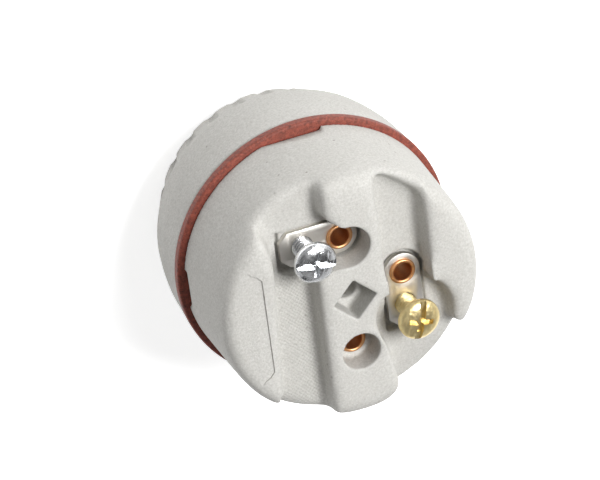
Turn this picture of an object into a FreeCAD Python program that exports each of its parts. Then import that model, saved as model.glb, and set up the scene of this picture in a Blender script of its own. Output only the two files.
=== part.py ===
import FreeCAD, Part
import os
import Sketcher

# A two-piece porcelain lamp socket for a sheet-metal panel, standing on the
# front face of its clamp ring: the lamp goes in from below, the wires are
# screwed on at the top. Z is the lamp axis and points to the wiring side,
# Z = 0 is the ring's front face, all lengths are millimetres.
# The wiring side is laid out about the axis: +Y is the eyelet of the shell
# terminal, -Y the plain eyelet, +X the eyelet of the centre contact.

os.makedirs("parts", exist_ok=True)
doc = FreeCAD.newDocument("PanelLampSocket")
sheet = doc.addObject("Spreadsheet::Sheet", "Sizes")

SIZES = [
    # heights along the axis
    ("ring_height", 23.0, "front face of the clamp ring to its clamping face"),
    ("gasket_thick", 2.0, "gasket between ring and flange"),
    ("body_high", 20.2, "flange underside to the wiring side's top"),
    ("groove_deep", 5.0, "depth of both wire channels"),
    ("seat_deep", 0.9, "depth of the plate seats below the channels"),
    ("roof_thick", 1.1, "porcelain left between screw holes and lamp cavity"),
    ("neck_gap", 0.8, "front lip of the ring to the neck's front end"),
    # screw shell, which sets the width of everything about it
    ("shell_rad", 14.0, "outer radius of the shell"),
    ("sheet_thick", 0.4, "sheet of shell and centre contact"),
    ("shell_set", 2.2, "free edge of the shell behind the neck's front end"),
    ("shell_floor_edge", 0.7, "floor ring past its rivet holes, towards the axis"),
    ("shell_play", 0.4, "radial play of the shell in the lamp cavity"),
    # neck, over the crests of its coarse thread, and ring
    ("neck_wall", 4.8, "wall of the neck"),
    ("neck_play", 0.4, "radial play between neck and ring"),
    ("ring_wall", 6.7, "wall of the ring at its clamping face"),
    ("belly_in", 0.7, "bend above the grip cone, inside the ring's outer radius"),
    ("belly_level", 12.3, "height of that bend"),
    ("cone_top_in", 1.35, "end of the grip cone, inside the ring's outer radius"),
    ("cone_top_level", 9.2, "height where the grip cone ends"),
    ("cone_foot_in", 4.55, "start of the grip cone, inside the ring's outer radius"),
    ("cone_foot_level", 1.5, "height where the grip cone starts"),
    ("nose_in", 6.0, "edge of the flat front face, inside the ring's outer radius"),
    ("mouth_play", 0.3, "lamp opening of the ring, wider than the cavity"),
    ("mouth_round", 0.9, "softened edge of that opening"),
    ("ring_lip", 3.6, "thickness of the front lip"),
    ("flute_count", 26, "grip flutes around the ring"),
    ("flute_rad", 1.3, "radius of one flute"),
    ("flute_depth", 0.4, "depth of one flute at the foot of the cone"),
    ("flute_top", 7.4, "slant length of one flute"),
    ("flute_tilt", 18.4, "slant of the flutes in degrees, so that they deepen upwards"),
    ("flute_phase", 4.6, "turn of the first flute from +X in degrees"),
    # gasket
    ("gasket_over", 0.2, "gasket proud of the ring"),
    ("gasket_play", 0.6, "radial play between neck and gasket"),
    # outside of the body
    ("flange_in", 1.0, "flange inside the ring's outer radius"),
    ("top_draft", 0.65, "draft of the body from flange to top"),
    ("rim_round", 2.5, "rounding of the top rim"),
    # channels and wells
    ("end_wall", 1.3, "wall at the closed end of the left channel"),
    ("left_lip_drop", 4.2, "low lip that closes the left channel, below the top"),
    ("right_lip_drop", 2.0, "low lip that closes the right channel, below the top"),
    ("band_left", 6.4, "left edge of the middle band from the axis"),
    ("band_left_set", 3.8, "left edge where the band is set in"),
    ("band_right_in", 4.5, "right edge of the middle band, before the centre eyelet"),
    ("left_room", 3.1, "end of the shell's plate to the left channel's wall"),
    ("right_room", 4.1, "centre eyelet to the right channel's wall"),
    ("bowl_room", 3.4, "room about the head of the centre screw"),
    ("eyelet_bowl_rad", 4.1, "round pocket about the shell eyelet"),
    ("plain_hole_rad", 3.65, "round well over the plain eyelet"),
    ("square_side", 5.9, "square well on the axis"),
    ("square_deep", 4.9, "depth of the square well"),
    ("square_bore_rad", 2.15, "round bore below the square well"),
    ("panel_depth", 0.35, "sunk plain field on the left rim"),
    ("panel_set", 2.25, "left channel's wall to the sunk field"),
    # eyelets
    ("eyelet_in", 3.0, "eyelets inside the shell's outer radius"),
    ("eyelet_body", 2.05, "barrel radius of an eyelet"),
    ("eyelet_wall", 0.3, "wall of the barrel"),
    ("eyelet_lip", 0.45, "upper lip, wider than the barrel"),
    ("eyelet_foot", 0.25, "lower lip, wider than the barrel"),
    ("eyelet_lip_high", 0.55, "lip height of an eyelet"),
    ("eyelet_play", 0.25, "radial play of a barrel in the porcelain"),
    ("eyelet_fit", 0.05, "radial play of a barrel in a plate"),
    # terminal plates and screws
    ("plate_thick", 1.0, "terminal plate thickness"),
    ("plate_half", 3.45, "half width of a terminal plate"),
    ("plate_reach", 7.0, "eyelet to screw"),
    ("plate_tail", 4.3, "screw to the plate's free end"),
    ("plate_corner", 1.7, "cut corners at the free end"),
    ("plate_gap", 0.45, "gap about a plate in its seat"),
    ("screw_shank", 2.0, "radius over the screw thread"),
    ("screw_fit", 0.05, "radial play of a screw in its plate"),
    ("screw_head_rad", 3.95, "head radius"),
    ("screw_head_high", 2.0, "head height"),
    ("screw_length", 6.4, "length under the head"),
    ("screw_grip", 0.9, "thread still in the plate, backed out"),
    ("screw_room", 0.6, "radial room about a screw below its plate"),
    ("screw_tip_room", 0.3, "room below the tip of a tight screw"),
    ("slot_wide", 1.1, "width of slot and cross"),
    ("slot_deep", 0.9, "depth of slot and cross"),
    ("cross_long", 4.6, "length of the short cross arm"),
    # centre contact
    ("contact_half", 2.8, "half width of the contact strip"),
    ("contact_gap", 1.8, "gap in the shell's floor beside the strip"),
    ("contact_drop", 3.9, "cavity ceiling to the strip's face at the axis"),
]

# lengths that follow from the sizes
FOLLOWS = {
    "flange_level": "(ring_height + gasket_thick)",
    "top_level": "(flange_level + body_high)",
    "groove_level": "(top_level - groove_deep)",
    "seat_level": "(groove_level - seat_deep)",
    "plate_top": "(seat_level + plate_thick)",
    "screw_hole_deep": "(screw_length - plate_thick + screw_tip_room)",
    "roof_deep": "(screw_hole_deep + roof_thick)",
    "cavity_top": "(seat_level - roof_deep)",
    "neck_front": "(ring_lip + neck_gap)",
    "shell_lip": "(neck_front + shell_set)",
    "contact_tip": "(cavity_top - contact_drop)",
    "screw_lift": "(screw_length - screw_grip)",
    "cavity_rad": "(shell_rad + shell_play)",
    "neck_rad": "(cavity_rad + neck_wall)",
    "ring_bore": "(neck_rad + neck_play)",
    "ring_rad": "(ring_bore + ring_wall)",
    "cone_foot_rad": "(ring_rad - cone_foot_in)",
    "mouth_rad": "(cavity_rad + mouth_play)",
    "gasket_rad": "(ring_rad + gasket_over)",
    "gasket_bore": "(neck_rad + gasket_play)",
    "flange_rad": "(ring_rad - flange_in)",
    "top_rad": "(flange_rad - top_draft)",
    "groove_end": "(top_rad - end_wall)",
    "eyelet_circle": "(shell_rad - eyelet_in)",
    "band_right": "(eyelet_circle - band_right_in)",
    "left_wall": "(plate_reach + plate_tail + left_room)",
    "right_wall": "(eyelet_circle + right_room)",
    "bowl_rad": "(screw_head_rad + bowl_room)",
    "mouth_wall": "(eyelet_circle + bowl_rad + 0.15)",
    "panel_edge": "(left_wall + panel_set)",
    "eyelet_bore": "(eyelet_body - eyelet_wall)",
    "eyelet_hole": "(eyelet_body + eyelet_play)",
    "plate_eye_hole": "(eyelet_body + eyelet_fit)",
    "screw_hole": "(screw_shank + screw_room)",
    "shell_gap_half": "(contact_half + contact_gap)",
}

for row, (alias, value, note) in enumerate(SIZES, start=1):
    sheet.set("A%d" % row, alias)
    sheet.set("B%d" % row, str(value))
    sheet.set("C%d" % row, note)
    sheet.setAlias("B%d" % row, alias)
doc.recompute()


def size(text):
    # every word of the expression that is a size gets the sheet's name
    out = []
    word = ""
    for sign in text + " ":
        if sign.isalnum() or sign == "_":
            word += sign
            continue
        if word in FOLLOWS:
            out.append(size(FOLLOWS[word]))
        elif word and word[0].isalpha() and word not in ("tan", "sin", "cos", "deg", "sqrt"):
            out.append("Sizes." + word)
        else:
            out.append(word)
        word = ""
        out.append(sign)
    return "".join(out).strip()


def new_body(label):
    body = doc.addObject("PartDesign::Body", label)
    body.Label = label
    return body


def plane_of(body, role):
    for feature in body.Origin.OriginFeatures:
        if feature.Role == role:
            return feature
    raise ValueError(role)


def new_sketch(body, label, role, level="0"):
    sketch = body.newObject("Sketcher::SketchObject", label)
    sketch.AttachmentSupport = [(plane_of(body, role), "")]
    sketch.MapMode = "FlatFace"
    if level != "0":
        sketch.setExpression("AttachmentOffset.Base.z", size(level))
    return sketch


def pin_point(sketch, geo, pos, across, up):
    # ties one point of the sketch to the origin by two named lengths
    if across == "0" and up == "0":
        sketch.addConstraint(Sketcher.Constraint("Coincident", geo, pos, -1, 1))
        return
    for kind, text, axis in (("DistanceX", across, -2), ("DistanceY", up, -1)):
        if text == "0":
            sketch.addConstraint(Sketcher.Constraint("PointOnObject", geo, pos, axis))
        else:
            index = sketch.addConstraint(Sketcher.Constraint(kind, -1, 1, geo, pos, 5.0))
            sketch.setExpression("Constraints[%d]" % index, size(text))


def add_outline(sketch, points):
    count = len(points)
    start = []
    for i in range(count):
        turn = FreeCAD.Rotation(FreeCAD.Vector(0, 0, 1), 360.0 * i / count)
        start.append(turn.multVec(FreeCAD.Vector(10, 0, 0)))
    first = sketch.GeometryCount
    for i in range(count):
        sketch.addGeometry(Part.LineSegment(start[i], start[(i + 1) % count]), False)
    for i in range(count):
        after = first + (i + 1) % count
        sketch.addConstraint(Sketcher.Constraint("Coincident", first + i, 2, after, 1))
    for i, (across, up) in enumerate(points):
        pin_point(sketch, first + i, 1, across, up)


def add_circle(sketch, across, up, radius):
    centre = FreeCAD.Vector(1, 1, 0)
    geo = sketch.addGeometry(Part.Circle(centre, FreeCAD.Vector(0, 0, 1), 2.0), False)
    pin_point(sketch, geo, 3, across, up)
    index = sketch.addConstraint(Sketcher.Constraint("Radius", geo, 2.0))
    sketch.setExpression("Constraints[%d]" % index, size(radius))


def turned(body, sketch, label):
    feature = body.newObject("PartDesign::Revolution", label)
    feature.Profile = sketch
    feature.ReferenceAxis = (sketch, ["V_Axis"])
    feature.Angle = 360
    return feature


def sunk(body, sketch, label, depth):
    # cuts from the sketch towards -Z, or right through
    feature = body.newObject("PartDesign::Pocket", label)
    feature.Profile = sketch
    if depth == "through":
        feature.Type = 1
    else:
        feature.setExpression("Length", size(depth))
    return feature


def cut_polygon(body, label, level, depth, points):
    sketch = new_sketch(body, label + "_outline", "XY_Plane", level)
    add_outline(sketch, points)
    return sunk(body, sketch, label, depth)


def cut_round(body, label, level, depth, spots):
    sketch = new_sketch(body, label + "_outline", "XY_Plane", level)
    for across, up, radius in spots:
        add_circle(sketch, across, up, radius)
    return sunk(body, sketch, label, depth)


def value(alias):
    return float(sheet.get(alias))


# porcelain body: one turned blank with flange, neck and lamp cavity
porcelain = new_body("porcelain_body")
blank = new_sketch(porcelain, "blank_half", "XZ_Plane")
add_outline(blank, [
    ("0", "cavity_top"),
    ("cavity_rad", "cavity_top"),
    ("cavity_rad", "neck_front"),
    ("neck_rad - 0.8", "neck_front"),
    ("neck_rad", "neck_front + 0.8"),
    ("neck_rad", "flange_level"),
    ("flange_rad", "flange_level"),
    ("top_rad", "top_level - rim_round"),
    ("top_rad - 0.134 * rim_round", "top_level - 0.5 * rim_round"),
    ("top_rad - 0.5 * rim_round", "top_level - 0.134 * rim_round"),
    ("top_rad - rim_round", "top_level"),
    ("0", "top_level"),
])
turned(porcelain, blank, "blank")
doc.recompute()

# round pocket about the shell eyelet
cut_round(porcelain, "shell_eyelet_bowl", "top_level", "groove_deep + seat_deep", [
    ("0", "eyelet_circle", "eyelet_bowl_rad"),
])

# left wire channel, open towards -Y, with the slot to the shell eyelet
cut_polygon(porcelain, "left_channel", "top_level", "groove_deep", [
    ("-left_wall - 1.8", "-30"),
    ("-band_left", "-30"),
    ("-band_left", "eyelet_circle - plate_half - plate_gap"),
    ("0", "eyelet_circle - plate_half - plate_gap"),
    ("0", "eyelet_circle + 4"),
    ("-2.1", "eyelet_circle + 4.9"),
    ("-band_left_set", "eyelet_circle + 6.6"),
    ("-band_left_set", "sqrt(groove_end * groove_end - band_left_set * band_left_set)"),
    ("-7.6", "sqrt(groove_end * groove_end - 7.6 * 7.6)"),
    ("-11.2", "sqrt(groove_end * groove_end - 11.2 * 11.2)"),
    ("-left_wall + 0.2", "sqrt(groove_end * groove_end - left_wall * left_wall)"),
    ("-left_wall + 0.5", "eyelet_circle - 1"),
])

# right wire channel, widening to an open mouth at -Y
cut_polygon(porcelain, "right_channel", "top_level", "groove_deep", [
    ("band_right", "-5"),
    ("band_right - 1.9", "-9.5"),
    ("band_right - 0.9", "-12.5"),
    ("band_right + 0.5", "-20.3"),
    ("band_right + 0.1", "-22.2"),
    ("band_right - 2.2", "-24"),
    ("band_right - 2.2", "-30"),
    ("mouth_wall - 1.5", "-30"),
    ("mouth_wall - 1.3", "-14.5"),
    ("mouth_wall - 0.7", "-11.8"),
    ("mouth_wall + 0.1", "-9.2"),
    ("mouth_wall", "-5.6"),
    ("right_wall + 1.2", "-2.4"),
    ("right_wall", "-0.8"),
    ("right_wall", "top_rad * 0.665"),
    ("11.8", "top_rad * 0.783"),
    ("9.5", "top_rad * 0.864"),
    ("band_right", "top_rad * 0.929"),
])
cut_round(porcelain, "screw_bowl", "top_level", "groove_deep", [
    ("eyelet_circle", "-plate_reach", "bowl_rad"),
])

# the low lips at the closed ends of both channels
cut_polygon(porcelain, "left_lip", "top_level", "left_lip_drop", [
    ("-left_wall - 1.2", "16"),
    ("-band_left_set", "17.5"),
    ("-band_left_set", "30"),
    ("-left_wall - 1.2", "30"),
])
cut_polygon(porcelain, "right_lip", "top_level", "right_lip_drop", [
    ("right_wall", "15"),
    ("right_wall", "30"),
    ("band_right", "30"),
    ("band_right", "18.5"),
])

# the right channel's floor falls towards its mouth
ramp = new_sketch(porcelain, "ramp_side", "YZ_Plane", "band_right + 0.5")
add_outline(ramp, [
    ("-14", "groove_level + 0.01"),
    ("-27", "groove_level + 0.01"),
    ("-27", "groove_level - 2.2"),
])
ramp_cut = sunk(porcelain, ramp, "mouth_ramp", "mouth_wall - band_right - 2")
ramp_cut.Reversed = True

# seats of the two terminal plates
cut_polygon(porcelain, "shell_seat", "groove_level", "seat_deep", [
    ("0", "eyelet_circle - plate_half - plate_gap"),
    ("0", "eyelet_circle + plate_half + 0.3"),
    ("-4.2", "eyelet_circle + plate_half + plate_gap"),
    ("-plate_reach - plate_tail - plate_gap", "eyelet_circle + plate_half + plate_gap"),
    ("-plate_reach - plate_tail - plate_gap", "eyelet_circle - plate_half - plate_gap"),
])
cut_polygon(porcelain, "centre_seat", "groove_level", "seat_deep", [
    ("eyelet_circle - plate_half - plate_gap", "0"),
    ("eyelet_circle - plate_half - plate_gap", "-plate_reach - plate_tail - plate_gap"),
    ("eyelet_circle + plate_half + plate_gap", "-plate_reach - plate_tail - plate_gap"),
    ("eyelet_circle + plate_half + plate_gap", "0"),
])
cut_round(porcelain, "centre_eyelet_seat", "groove_level", "seat_deep", [
    ("eyelet_circle", "0", "plate_half + plate_gap"),
])

# wells and bores of the middle band
cut_round(porcelain, "plain_well", "top_level", "groove_deep + seat_deep - plate_thick", [
    ("0", "-eyelet_circle", "plain_hole_rad"),
])
cut_polygon(porcelain, "square_well", "top_level", "square_deep", [
    ("0", "square_side * 0.70711"),
    ("-square_side * 0.70711", "0"),
    ("0", "-square_side * 0.70711"),
    ("square_side * 0.70711", "0"),
])
cut_round(porcelain, "through_bores", "top_level", "groove_deep + seat_deep + roof_deep + 1", [
    ("0", "0", "square_bore_rad"),
    ("0", "eyelet_circle", "eyelet_hole"),
    ("0", "-eyelet_circle", "eyelet_hole"),
    ("eyelet_circle", "0", "eyelet_hole"),
])
cut_round(porcelain, "screw_wells", "seat_level", "screw_hole_deep", [
    ("-plate_reach", "eyelet_circle", "screw_hole"),
    ("eyelet_circle", "-plate_reach", "screw_hole"),
])

# the sunk plain field on the left rim
cut_polygon(porcelain, "sunk_field", "top_level", "panel_depth", [
    ("-panel_edge", "-9.6"),
    ("-panel_edge", "9.6"),
    ("-panel_edge - 0.9", "10.9"),
    ("-panel_edge - 1.9", "11.5"),
    ("-panel_edge - 3", "13"),
    ("-27", "19"),
    ("-27", "-19"),
    ("-panel_edge - 3", "-13"),
    ("-panel_edge - 1.9", "-11.5"),
    ("-panel_edge - 0.9", "-10.9"),
])

# two short flats on the flange's lower edge
flat_back = new_sketch(porcelain, "flat_back_side", "YZ_Plane", "-7.6")
add_outline(flat_back, [
    ("flange_rad - 1.25", "flange_level - 0.01"),
    ("flange_rad + 2", "flange_level - 0.01"),
    ("flange_rad + 2", "flange_level + 5"),
    ("flange_rad + 0.1", "flange_level + 4"),
])
flat_back_cut = sunk(porcelain, flat_back, "flat_back", "11.6")
flat_back_cut.Reversed = True
flat_left = new_sketch(porcelain, "flat_left_side", "XZ_Plane", "-4.2")
add_outline(flat_left, [
    ("-flange_rad + 0.8", "flange_level - 0.01"),
    ("-flange_rad - 2", "flange_level - 0.01"),
    ("-flange_rad - 2", "flange_level + 5"),
    ("-flange_rad - 0.1", "flange_level + 4"),
])
flat_left_cut = sunk(porcelain, flat_left, "flat_left", "8")
flat_left_cut.Reversed = True
doc.recompute()

# clamp ring: turned blank with the grip cone, then its flutes
ring = new_body("clamp_ring")
ring_half = new_sketch(ring, "ring_half", "XZ_Plane")
add_outline(ring_half, [
    ("mouth_rad + mouth_round", "0"),
    ("ring_rad - nose_in", "0"),
    ("cone_foot_rad", "cone_foot_level"),
    ("ring_rad - cone_top_in", "cone_top_level"),
    ("ring_rad - belly_in", "belly_level"),
    ("ring_rad - 0.35 * belly_in", "belly_level + 3"),
    ("ring_rad", "ring_height - 3"),
    ("ring_rad", "ring_height"),
    ("ring_bore", "ring_height"),
    ("ring_bore", "ring_lip"),
    ("mouth_rad", "ring_lip"),
    ("mouth_rad", "mouth_round"),
])
turned(ring, ring_half, "ring_blank")
doc.recompute()

flute = ring.newObject("PartDesign::SubtractiveCylinder", "flute")
flute.setExpression("Radius", size("flute_rad"))
flute.setExpression("Height", size("flute_top + 3"))
flute.Placement.Rotation = (
    FreeCAD.Rotation(FreeCAD.Vector(0, 0, 1), value("flute_phase"))
    * FreeCAD.Rotation(FreeCAD.Vector(0, 1, 0), value("flute_tilt")))
flute_out = "(cone_foot_rad - cone_foot_level * tan(flute_tilt * 1 deg)" \
    " + (flute_rad - flute_depth) / cos(flute_tilt * 1 deg) - 3 * sin(flute_tilt * 1 deg))"
flute.setExpression("Placement.Base.x", size(flute_out + " * cos(flute_phase * 1 deg)"))
flute.setExpression("Placement.Base.y", size(flute_out + " * sin(flute_phase * 1 deg)"))
flute.setExpression("Placement.Base.z", size("-3 * cos(flute_tilt * 1 deg)"))
doc.recompute()
flutes = ring.newObject("PartDesign::PolarPattern", "flutes")
flutes.Originals = [flute]
flutes.Axis = (ring_half, ["V_Axis"])
flutes.Angle = 360
flutes.setExpression("Occurrences", size("flute_count"))
ring.Tip = flutes
doc.recompute()

# gasket: a flat washer of sheet, clamped between ring and flange
gasket = new_body("ring_gasket")
gasket_half = new_sketch(gasket, "gasket_half", "XZ_Plane")
add_outline(gasket_half, [
    ("gasket_bore", "ring_height"),
    ("gasket_rad", "ring_height"),
    ("gasket_rad", "flange_level"),
    ("gasket_bore", "flange_level"),
])
turned(gasket, gasket_half, "gasket_washer")
doc.recompute()

# screw shell: one thin drawn sheet with a floor ring, plain where the lamp's thread is rolled in
shell = new_body("screw_shell")
shell_half = new_sketch(shell, "shell_half", "YZ_Plane")
add_outline(shell_half, [
    ("eyelet_circle - plate_eye_hole - shell_floor_edge", "cavity_top"),
    ("shell_rad", "cavity_top"),
    ("shell_rad", "shell_lip"),
    ("shell_rad - sheet_thick", "shell_lip"),
    ("shell_rad - sheet_thick", "cavity_top - sheet_thick"),
    ("eyelet_circle - plate_eye_hole - shell_floor_edge", "cavity_top - sheet_thick"),
])
turned(shell, shell_half, "drawn_sheet")
cut_polygon(shell, "contact_gap", "cavity_top", "1.2", [
    ("1", "-shell_gap_half"),
    ("shell_rad + 2", "-shell_gap_half"),
    ("shell_rad + 2", "shell_gap_half"),
    ("1", "shell_gap_half"),
])
cut_round(shell, "shell_rivet_holes", "cavity_top", "1", [
    ("0", "eyelet_circle", "plate_eye_hole"),
    ("0", "-eyelet_circle", "plate_eye_hole"),
])
doc.recompute()

# centre contact: a springy strip from its eyelet down to the axis
contact = new_body("centre_contact")
contact_side = new_sketch(contact, "contact_side", "XZ_Plane")
add_outline(contact_side, [
    ("eyelet_circle + 2.3", "cavity_top"),
    ("eyelet_circle - 2.7", "cavity_top"),
    ("3", "contact_tip + 0.9"),
    ("0", "contact_tip"),
    ("-2.6", "contact_tip + 0.8"),
    ("-2.8", "contact_tip + 0.8 - sheet_thick"),
    ("0", "contact_tip - sheet_thick"),
    ("3.1", "contact_tip + 0.9 - sheet_thick"),
    ("eyelet_circle - 2.6", "cavity_top - sheet_thick"),
    ("eyelet_circle + 2.3", "cavity_top - sheet_thick"),
])
strip = contact.newObject("PartDesign::Pad", "strip")
strip.Profile = contact_side
strip.Midplane = True
strip.setExpression("Length", size("contact_half * 2"))
cut_round(contact, "contact_rivet_hole", "cavity_top + 1", "3", [
    ("eyelet_circle", "0", "plate_eye_hole"),
])
doc.recompute()


def terminal_plate(label):
    # the eyelet is at the plate's origin, the screw towards its own -Y
    body = new_body(label)
    sketch = new_sketch(body, label + "_blank", "XY_Plane")
    add_outline(sketch, [
        ("-plate_half", "0"),
        ("-plate_half", "-plate_reach - plate_tail + plate_corner"),
        ("-plate_half + plate_corner", "-plate_reach - plate_tail"),
        ("plate_half - plate_corner", "-plate_reach - plate_tail"),
        ("plate_half", "-plate_reach - plate_tail + plate_corner"),
        ("plate_half", "0"),
    ])
    tail = body.newObject("PartDesign::Pad", label + "_tail")
    tail.Profile = sketch
    tail.setExpression("Length", size("plate_thick"))
    round_end = new_sketch(body, label + "_round_end", "XY_Plane")
    add_circle(round_end, "0", "0", "plate_half")
    head = body.newObject("PartDesign::Pad", label + "_head")
    head.Profile = round_end
    head.setExpression("Length", size("plate_thick"))
    cut_round(body, label + "_holes", "plate_thick", "through", [
        ("0", "0", "plate_eye_hole"),
        ("0", "-plate_reach", "screw_shank + screw_fit"),
    ])
    body.setExpression("Placement.Base.z", size("seat_level"))
    return body


shell_terminal = terminal_plate("shell_terminal")
shell_terminal.Placement.Rotation = FreeCAD.Rotation(FreeCAD.Vector(0, 0, 1), -90)
shell_terminal.setExpression("Placement.Base.y", size("eyelet_circle"))
centre_terminal = terminal_plate("centre_terminal")
centre_terminal.setExpression("Placement.Base.x", size("eyelet_circle"))
doc.recompute()


def eyelet(label, across, up):
    # a rolled tube rivet, its origin on the face that its upper lip sits on
    body = new_body(label)
    half = new_sketch(body, label + "_half", "XZ_Plane")
    foot = "cavity_top - sheet_thick - plate_top"
    add_outline(half, [
        ("eyelet_bore", foot + " - eyelet_lip_high"),
        ("eyelet_body + eyelet_foot", foot + " - eyelet_lip_high"),
        ("eyelet_body + eyelet_foot", foot),
        ("eyelet_body", foot),
        ("eyelet_body", "0"),
        ("eyelet_body + eyelet_lip", "0"),
        ("eyelet_body + eyelet_lip", "eyelet_lip_high / 2"),
        ("eyelet_body + eyelet_lip / 2", "eyelet_lip_high"),
        ("eyelet_bore", "eyelet_lip_high"),
    ])
    turned(body, half, label + "_tube")
    body.setExpression("Placement.Base.z", size("plate_top"))
    if across != "0":
        body.setExpression("Placement.Base.x", size(across))
    if up != "0":
        body.setExpression("Placement.Base.y", size(up))
    return body


eyelet("shell_terminal_eyelet", "0", "eyelet_circle")
eyelet("plain_eyelet", "0", "-eyelet_circle")
eyelet("centre_eyelet", "eyelet_circle", "0")
doc.recompute()


def terminal_screw(label, across, up, turn):
    # binding head with a slot and a cross, origin on the head's underside
    body = new_body(label)
    half = new_sketch(body, label + "_half", "XZ_Plane")
    add_outline(half, [
        ("0", "-screw_length"),
        ("screw_shank", "-screw_length"),
        ("screw_shank", "0"),
        ("screw_head_rad", "0"),
        ("screw_head_rad", "screw_head_high * 0.5"),
        ("screw_head_rad - 1.2", "screw_head_high * 0.9"),
        ("0", "screw_head_high"),
    ])
    turned(body, half, label + "_turned")
    cut_polygon(body, label + "_slot", "screw_head_high + 0.1", "slot_deep + 0.1", [
        ("-screw_head_rad - 1", "-slot_wide / 2"),
        ("screw_head_rad + 1", "-slot_wide / 2"),
        ("screw_head_rad + 1", "slot_wide / 2"),
        ("-screw_head_rad - 1", "slot_wide / 2"),
    ])
    cut_polygon(body, label + "_cross", "screw_head_high + 0.1", "slot_deep + 0.1", [
        ("-slot_wide / 2", "-cross_long / 2"),
        ("slot_wide / 2", "-cross_long / 2"),
        ("slot_wide / 2", "cross_long / 2"),
        ("-slot_wide / 2", "cross_long / 2"),
    ])
    body.Placement.Rotation = FreeCAD.Rotation(FreeCAD.Vector(0, 0, 1), turn)
    body.setExpression("Placement.Base.x", size(across))
    body.setExpression("Placement.Base.y", size(up))
    body.setExpression("Placement.Base.z", size("plate_top + screw_lift"))
    return body


terminal_screw("shell_terminal_screw", "-plate_reach", "eyelet_circle", -10)
terminal_screw("centre_terminal_screw", "eyelet_circle", "-plate_reach", 75)
doc.recompute()

# every piece is checked, then written under its own label
total = 0
for piece in doc.Objects:
    if "Invalid" in piece.State or "Error" in piece.State:
        raise RuntimeError("not built: " + piece.Label)
for piece in doc.Objects:
    if piece.TypeId != "PartDesign::Body":
        continue
    shape = piece.Shape
    if shape.isNull() or not shape.isValid() or len(shape.Solids) != 1:
        raise RuntimeError("bad solid: " + piece.Label)
    facets = len(shape.tessellate(0.1)[1])
    total += facets
    shape.exportStep("parts/" + piece.Label + ".step")
    box = shape.BoundBox
    print("%-24s volume %8.1f  facets %5d  z %6.2f %6.2f" % (
        piece.Label, shape.Volume, facets, box.ZMin, box.ZMax))
print("facets in all", total)
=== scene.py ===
# %% [markdown]
# # A porcelain lamp socket for a sheet-metal panel
# The socket is held in a hole of a panel: the panel's edge sits between the
# red gasket and the flange of the body, and a porcelain ring is screwed up
# behind it. The photograph looks at the wiring side.
# The CAD model is loaded first. Its nodes carry the true sizes, so each piece
# below takes the place of a node at the very same spot.

# %% Load the CAD frame
import math

import bmesh
import bpy
from mathutils import Matrix, Vector


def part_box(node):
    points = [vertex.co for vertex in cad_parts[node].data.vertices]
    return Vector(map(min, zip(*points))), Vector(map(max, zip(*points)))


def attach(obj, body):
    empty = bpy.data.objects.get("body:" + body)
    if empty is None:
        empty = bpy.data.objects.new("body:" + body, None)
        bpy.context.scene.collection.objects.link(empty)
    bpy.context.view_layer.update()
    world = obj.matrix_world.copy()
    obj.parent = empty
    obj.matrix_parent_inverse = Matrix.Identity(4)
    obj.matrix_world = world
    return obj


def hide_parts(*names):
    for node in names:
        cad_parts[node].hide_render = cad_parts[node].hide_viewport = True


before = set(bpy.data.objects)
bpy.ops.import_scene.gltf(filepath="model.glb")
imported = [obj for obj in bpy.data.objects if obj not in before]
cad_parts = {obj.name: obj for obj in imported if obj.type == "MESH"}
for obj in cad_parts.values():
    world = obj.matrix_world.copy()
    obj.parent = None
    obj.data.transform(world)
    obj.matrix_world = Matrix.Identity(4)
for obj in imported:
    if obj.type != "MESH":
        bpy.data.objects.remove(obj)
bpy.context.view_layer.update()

MM = 0.001

# %% [markdown]
# ## Helpers for pieces
# Every piece is drawn in a bmesh, written to a mesh and parented to the CAD
# body that it moves with. Working in real millimetres and scaling once at the
# end keeps the numbers readable.

# %% Places and sizes of a CAD node, in millimetres
def box_mm(node):
    return [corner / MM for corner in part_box(node)]


def centre_mm(node):
    low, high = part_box(node)
    return (low + high) / 2 / MM


# %% How far a value has come from one mark to another, from 0 to 1
def part_way(value, start, end):
    return min(max((value - start) / (end - start), 0.0), 1.0)


def ease(value, start, end):
    part = part_way(value, start, end)
    return part * part * (3 - 2 * part)


# %% From bmesh to mesh to object
def resize(bm, factor):
    bmesh.ops.scale(bm, vec=(factor, factor, factor), verts=bm.verts)


def mesh_from(name, bm):
    mesh = bpy.data.meshes.new(name)
    bm.to_mesh(mesh)
    bm.free()
    return mesh


def add_object(name, data):
    made = bpy.data.objects.new(name, data)
    bpy.context.scene.collection.objects.link(made)
    return made


def shade(piece, smooth_angle):
    mesh = piece.data
    mesh.shade_smooth()
    mesh.set_sharp_from_angle(angle=math.radians(smooth_angle))


# %% A piece that rides on a CAD body and takes a node's place
def add_piece(name, bm, body, node, smooth_angle=35):
    bmesh.ops.recalc_face_normals(bm, faces=bm.faces)
    resize(bm, MM)
    piece = add_object(name, mesh_from(name, bm))
    shade(piece, smooth_angle)
    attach(piece, body)
    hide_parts(node)
    print(name, len(piece.data.polygons), "faces")
    return piece


def dress(piece, material):
    piece.data.materials.clear()
    piece.data.materials.append(material)


# %% Modifiers are applied, so that a piece is a plain mesh
def apply_modifiers(piece):
    graph = bpy.context.evaluated_depsgraph_get()
    graph.update()
    finished = bpy.data.meshes.new_from_object(piece.evaluated_get(graph))
    old = piece.data
    piece.modifiers.clear()
    piece.data = finished
    bpy.data.meshes.remove(old)


def round_edges(piece, width):
    bevel = piece.modifiers.new("edge", "BEVEL")
    bevel.width = width * MM
    bevel.segments = 2
    bevel.limit_method = "ANGLE"
    bevel.angle_limit = math.radians(30)
    bevel.harden_normals = False
    apply_modifiers(piece)


def thicken(piece, thickness, side):
    wall = piece.modifiers.new("sheet", "SOLIDIFY")
    wall.thickness = thickness * MM
    wall.offset = side
    apply_modifiers(piece)


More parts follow.
